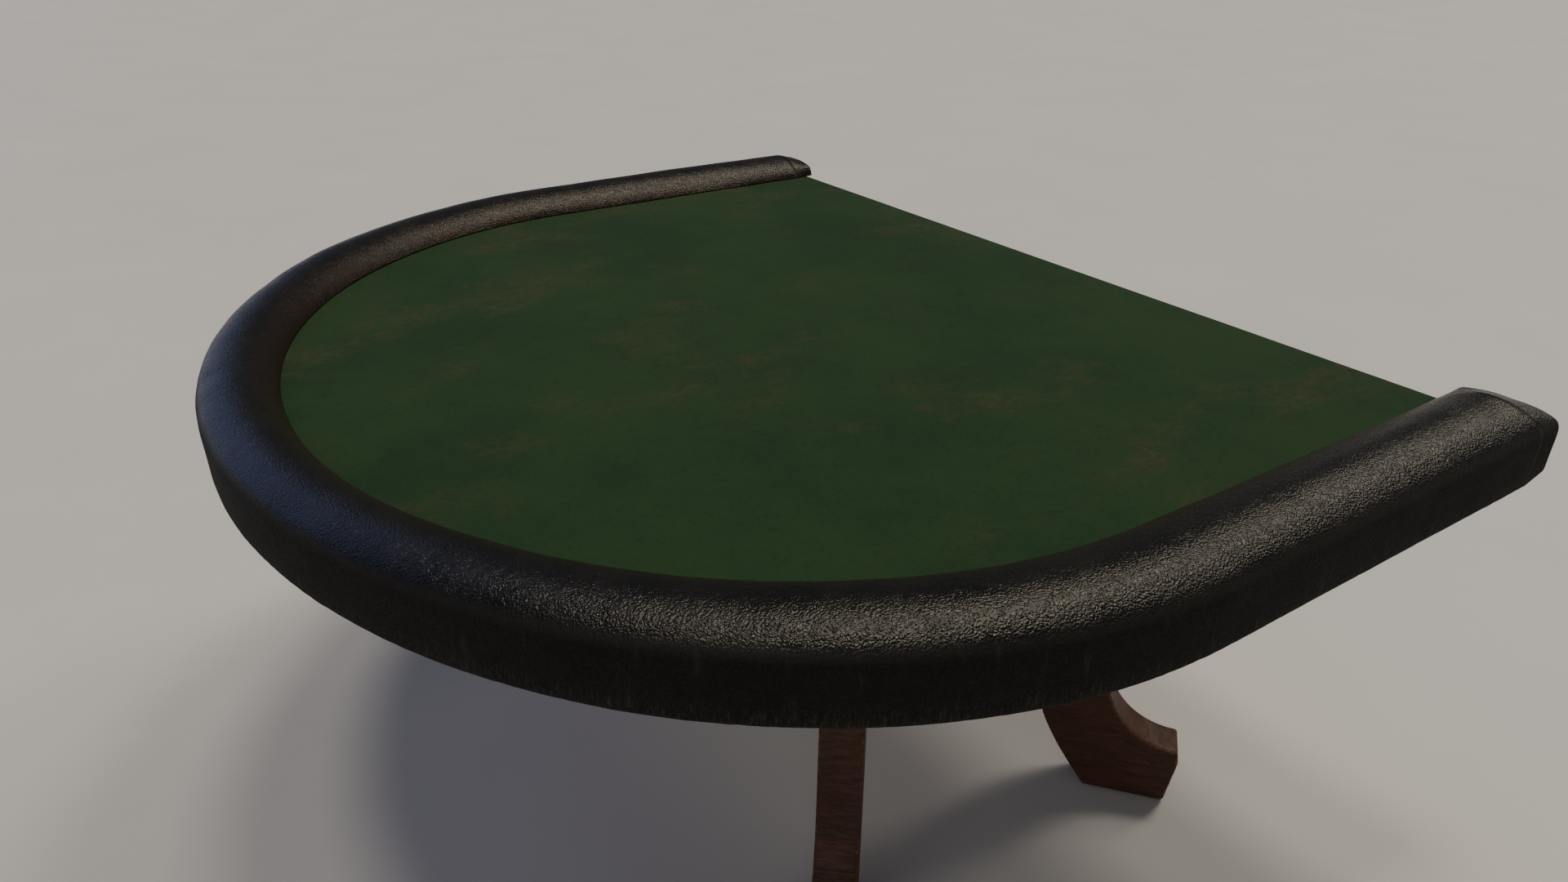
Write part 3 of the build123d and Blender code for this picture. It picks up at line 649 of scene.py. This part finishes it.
def worn_leg(corner, material):
    """A leg remeshed from its CAD solid with softened edges, its grain laid straight out along its foot,
    across it and up.
    """
    node = f"leg_{corner}"
    source = frame["nodes"][node]
    mesh = source.data.copy()
    mesh.name = f"timber_{node}"
    piece = bpy.data.objects.new(f"timber_{node}", mesh)
    bpy.context.scene.collection.objects.link(piece)
    remesh = piece.modifiers.new("even", "REMESH")
    remesh.mode, remesh.voxel_size, remesh.use_smooth_shade = "VOXEL", LEG_VOXEL, True
    soften = piece.modifiers.new("soften", "SMOOTH")
    soften.factor, soften.iterations = 0.5, 3
    evaluated = piece.evaluated_get(bpy.context.evaluated_depsgraph_get())
    mesh = bpy.data.meshes.new_from_object(evaluated)
    piece.modifiers.clear()
    piece.data = mesh
    mesh.materials.clear()
    mesh.materials.append(material)
    add_grain(mesh, node)
    add_wear(mesh)
    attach(piece, BODY)
    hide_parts(node)
    return piece


def mesh_points(mesh):
    points = np.zeros(len(mesh.vertices) * 3, np.float32)
    mesh.vertices.foreach_get("co", points)
    return points.reshape(-1, 3).astype(float)


def add_grain(mesh, node):
    """The grain vector: outwards along the foot, across the leg's thickness, and up."""
    sx, sy = (-1 if node.endswith("left") else 1), (1 if node.startswith("leg_back") else -1)
    out = np.array([sx * math.cos(LEG_ANGLE), sy * math.sin(LEG_ANGLE), 0])
    side = np.array([-out[1], out[0], 0])
    points = mesh_points(mesh)
    shift = 3.7 * CORNERS.index(node[4:])       # another part of the plank for each leg
    grain = np.stack([points @ out + shift, points @ side, points[:, 2]], axis=1)
    layer = mesh.attributes.new("grain", "FLOAT_VECTOR", "POINT")
    layer.data.foreach_set("vector", grain.astype(np.float32).ravel())


def add_wear(mesh):
    """The wear vector: 1 on the sharpest outside edges, 0 on flats and in hollows."""
    points = mesh_points(mesh)
    edges = np.zeros(len(mesh.edges) * 2, np.int32)
    mesh.edges.foreach_get("vertices", edges)
    a, b = edges.reshape(-1, 2).T
    count = np.bincount(np.concatenate([a, b]), minlength=len(points))[:, None]
    soft = points.copy()
    for _ in range(4):
        total = np.zeros_like(soft)
        np.add.at(total, a, soft[b])
        np.add.at(total, b, soft[a])
        soft = total / np.maximum(count, 1)
    normals = np.zeros(len(points) * 3, np.float32)
    mesh.vertex_normals.foreach_get("vector", normals)
    bulge = ((points - soft) * normals.reshape(-1, 3)).sum(axis=1)
    wear = np.clip(bulge / SHARP_BULGE, 0, 1)
    layer = mesh.attributes.new("wear", "FLOAT_VECTOR", "POINT")
    layer.data.foreach_set("vector", np.repeat(wear.astype(np.float32), 3))


# ---------------------------------------------------------------- CAD nodes that stay
def finish_node(node, material):
    """The node's mesh, which is left alone, given one material."""
    data = frame["nodes"][node].data
    data.materials.clear()
    data.materials.append(material)


def finish_frame():
    """Materials for the CAD nodes that are shown as they are."""
    oak_dark, oak_light = rgb(0.13, 0.066, 0.03), rgb(0.25, 0.145, 0.07)
    oak = {axis: wood_material(f"frame_oak_{axis}", oak_dark, oak_light, axis) for axis in "XYZ"}
    ply = plywood_material()
    zinc = metal_material("steel_zinc", rgb(0.56, 0.57, 0.58), rgb(0.30, 0.29, 0.27), 0.28)
    yellow = metal_material("steel_yellow", rgb(0.62, 0.52, 0.33), rgb(0.34, 0.27, 0.16), 0.32)
    along_x = ("beam_", "apron_back", "apron_front")
    along_y = ("rib_", "apron_left", "apron_right", "rail_skirt")
    by_slot = {
        "plywood": ply, "steel": zinc, "plated_steel": yellow, "nylon": nylon_material(),
        "underlay_foam": foam_material("underlay", rgb(0.22, 0.22, 0.21), rgb(0.12, 0.12, 0.115)),
    }
    for part in frame["record"]["subparts"]:
        node, slot = part["node"], part["material_slot"]
        if slot in by_slot:
            finish_node(node, by_slot[slot])
        elif slot == "frame_timber":
            axis = "X" if node.startswith(along_x) else "Y" if node.startswith(along_y) else "Z"
            finish_node(node, oak[axis])


# ---------------------------------------------------------------- studio
def soft_sun(name, direction, angle, strength, colour):
    """A soft light from one direction that lights the whole floor alike."""
    light = bpy.data.lights.new(name, "SUN")
    light.angle, light.energy, light.color = math.radians(angle), strength, colour
    lamp = bpy.data.objects.new(name, light)
    lamp.rotation_mode = "QUATERNION"
    lamp.rotation_quaternion = (-Vector(direction)).to_track_quat("-Z", "Y")
    bpy.context.scene.collection.objects.link(lamp)


FLOOR_HALF = 40.0
WARM, COOL, WHITE = (1.0, 0.88, 0.69), (0.36, 0.46, 1.0), (1.0, 0.97, 0.93)
KEY_STRIP = ((-6, 1.0), (12, 1.1), (30, 0.95), (48, 0.42), (64, 0.15))     # tilt and strength of each light
KEY_LEAN, KEY_ANGLE, FILL_ANGLE = -0.06, 12, 50


def studio():
    """A pale floor, a soft grey surround and soft lights: a warm strip from overhead back towards the
    dealer's side, and fills from the left and the front."""
    mesh = bpy.data.meshes.new("studio_floor")
    corners = [(x * FLOOR_HALF, y * FLOOR_HALF, 0) for x, y in ((-1, -1), (1, -1), (1, 1), (-1, 1))]
    mesh.from_pydata(corners, [], [(0, 1, 2, 3)])
    mesh.materials.append(floor_material())
    floor = bpy.data.objects.new("studio_floor", mesh)
    bpy.context.scene.collection.objects.link(floor)
    world = bpy.data.worlds.new("studio_world")
    bpy.context.scene.world = world
    world.use_nodes = True
    back = next(n for n in world.node_tree.nodes if n.type == "BACKGROUND")
    back.inputs["Color"].default_value = rgb(0.80, 0.83, 0.90)
    back.inputs["Strength"].default_value = 0.11
    for number, (tilt, strength) in enumerate(KEY_STRIP):
        towards = (KEY_LEAN, math.sin(math.radians(tilt)), math.cos(math.radians(tilt)))
        soft_sun(f"key_strip_{number}", towards, KEY_ANGLE, strength, WARM)
    soft_sun("fill_cool", (-0.82, -0.35, 0.45), FILL_ANGLE, 0.48, COOL)
    soft_sun("front_soft", (0.55, -0.70, 0.45), FILL_ANGLE, 0.5, WHITE)


def camera():
    """Seen from the players' side, low over the right-hand front, as the table's picture is framed."""
    from_dealer_edge = Vector((1.3927, -1.4823, 0.6174))       # from its middle, at the felt
    heading, pitch = math.radians(56.9), math.radians(27.18)   # left of +Y, and down
    data = bpy.data.cameras.new("camera")
    data.sensor_width, data.lens = 36.0, 24.49
    view = bpy.data.objects.new("camera", data)
    view.location = Vector((0, DEALER_Y, FELT_TOP)) + from_dealer_edge
    level = math.cos(pitch)
    look = Vector((-math.sin(heading) * level, math.cos(heading) * level, -math.sin(pitch)))
    view.rotation_mode = "QUATERNION"
    view.rotation_quaternion = look.to_track_quat("-Z", "Y")
    bpy.context.scene.collection.objects.link(view)
    bpy.context.scene.camera = view


# ---------------------------------------------------------------- the table
leather = leather_material()
armrest_cover(leather)
armrest_end("right", 0.0, leather)
armrest_end("left", math.pi, leather)
felt_sheet(felt_material())
mahogany = leg_material()
for corner in CORNERS:
    worn_leg(corner, mahogany)
finish_frame()
studio()
camera()
